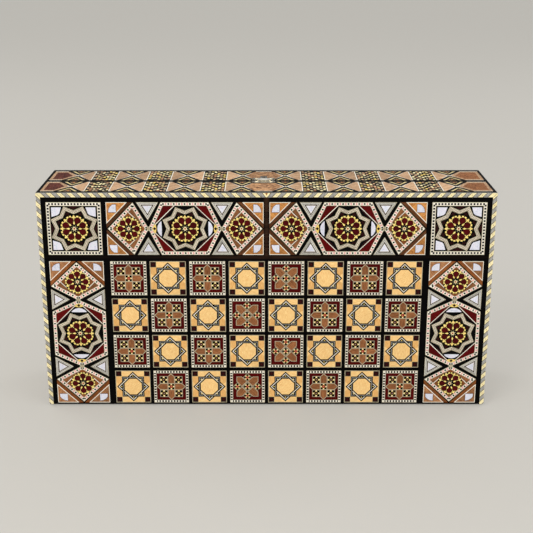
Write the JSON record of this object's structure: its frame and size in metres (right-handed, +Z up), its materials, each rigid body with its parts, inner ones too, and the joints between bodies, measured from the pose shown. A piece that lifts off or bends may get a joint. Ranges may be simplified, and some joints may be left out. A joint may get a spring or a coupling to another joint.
{
  "type": "folding board game box",
  "caption": "Folding chess and backgammon box: two inlaid wooden trays hinged along one long edge, with a brass hasp on the other.",
  "frame": {"origin": "middle of the footprint, on the surface that the closed box stands on, which is the lowest line of the hinge knuckles", "axes": "+Z up, from the hinged edge to the clasp edge; X along the width; the lid tray's chess face looks along -Y"},
  "size_m": [0.4, 0.09, 0.2046],
  "materials": {
    "rail_wood": "planed beech, unfinished where it is hidden",
    "panel_ply": "plywood ground",
    "ebony": "black stained ground under gloss lacquer",
    "lemon_wood_marquetry": "lemon wood and bone marquetry under gloss lacquer",
    "rosewood_marquetry": "rosewood, walnut and bone marquetry under gloss lacquer",
    "pearl_marquetry": "mother-of-pearl, bone and rosewood marquetry under gloss lacquer",
    "border_marquetry": "mixed wood, bone and mother-of-pearl marquetry under gloss lacquer",
    "rope_banding": "twisted-rope banding under gloss lacquer",
    "edge_marquetry": "chevron and diamond marquetry under gloss lacquer",
    "walnut_veneer": "satin walnut veneer",
    "lemon_wood": "satin lemon wood inlay",
    "rosewood": "satin rosewood inlay",
    "hinge_brass": "stamped brass, satin",
    "clasp_brass": "polished brass",
    "screw_brass": "turned brass",
    "tack_brass": "polished brass",
    "pin_steel": "drawn wire"
  },
  "bodies": {
    "base": {"base_top_rail": "rail_wood", "base_bottom_rail": "rail_wood", "base_left_rail": "rail_wood", "base_right_rail": "rail_wood", "base_panel": "panel_ply", "base_ebony_ground": "ebony", "base_light_squares": "lemon_wood_marquetry", "base_dark_squares": "rosewood_marquetry", "base_corner_tiles": "pearl_marquetry", "base_top_border_panels": "border_marquetry", "base_side_border_panels": "border_marquetry", "base_rope_edging": "rope_banding", "base_top_veneer": "edge_marquetry", "base_left_veneer": "edge_marquetry", "base_right_veneer": "edge_marquetry", "base_floor_lining": "walnut_veneer", "base_light_points": "lemon_wood", "base_dark_points": "rosewood", "base_medallion": "pearl_marquetry", "base_wall_linings": "walnut_veneer", "base_rim_banding": "ebony", "base_hinge_screws": "screw_brass", "left_hinge_base_leaf": "hinge_brass", "right_hinge_base_leaf": "hinge_brass", "left_hinge_pin": "pin_steel", "right_hinge_pin": "pin_steel", "clasp_keeper": "clasp_brass", "keeper_pins": "tack_brass"},
    "lid": {"lid_top_rail": "rail_wood", "lid_bottom_rail": "rail_wood", "lid_left_rail": "rail_wood", "lid_right_rail": "rail_wood", "lid_panel": "panel_ply", "lid_ebony_ground": "ebony", "lid_light_squares": "lemon_wood_marquetry", "lid_dark_squares": "rosewood_marquetry", "lid_corner_tiles": "pearl_marquetry", "lid_top_border_panels": "border_marquetry", "lid_side_border_panels": "border_marquetry", "lid_rope_edging": "rope_banding", "lid_top_veneer": "edge_marquetry", "lid_left_veneer": "edge_marquetry", "lid_right_veneer": "edge_marquetry", "lid_floor_lining": "walnut_veneer", "lid_light_points": "lemon_wood", "lid_dark_points": "rosewood", "lid_medallion": "pearl_marquetry", "lid_wall_linings": "walnut_veneer", "lid_rim_banding": "ebony", "lid_hinge_screws": "screw_brass", "left_hinge_lid_leaf": "hinge_brass", "right_hinge_lid_leaf": "hinge_brass", "hasp_plate": "clasp_brass", "hasp_plate_pins": "tack_brass", "hasp_pin": "pin_steel"},
    "hasp": {"hasp": "clasp_brass"}
  },
  "joints": [
    {"name": "lid_hinge", "type": "hinge", "parent": "base", "child": "lid", "pos_m": [0, 0, 0.0015], "axis": [1, 0, 0], "range_deg": [0, 180]},
    {"name": "hasp_pivot", "type": "hinge", "parent": "lid", "child": "hasp", "pos_m": [-0.0025, -0.003, 0.2036], "axis": [1, 0, 0], "range_deg": [0, 160]}
  ]
}
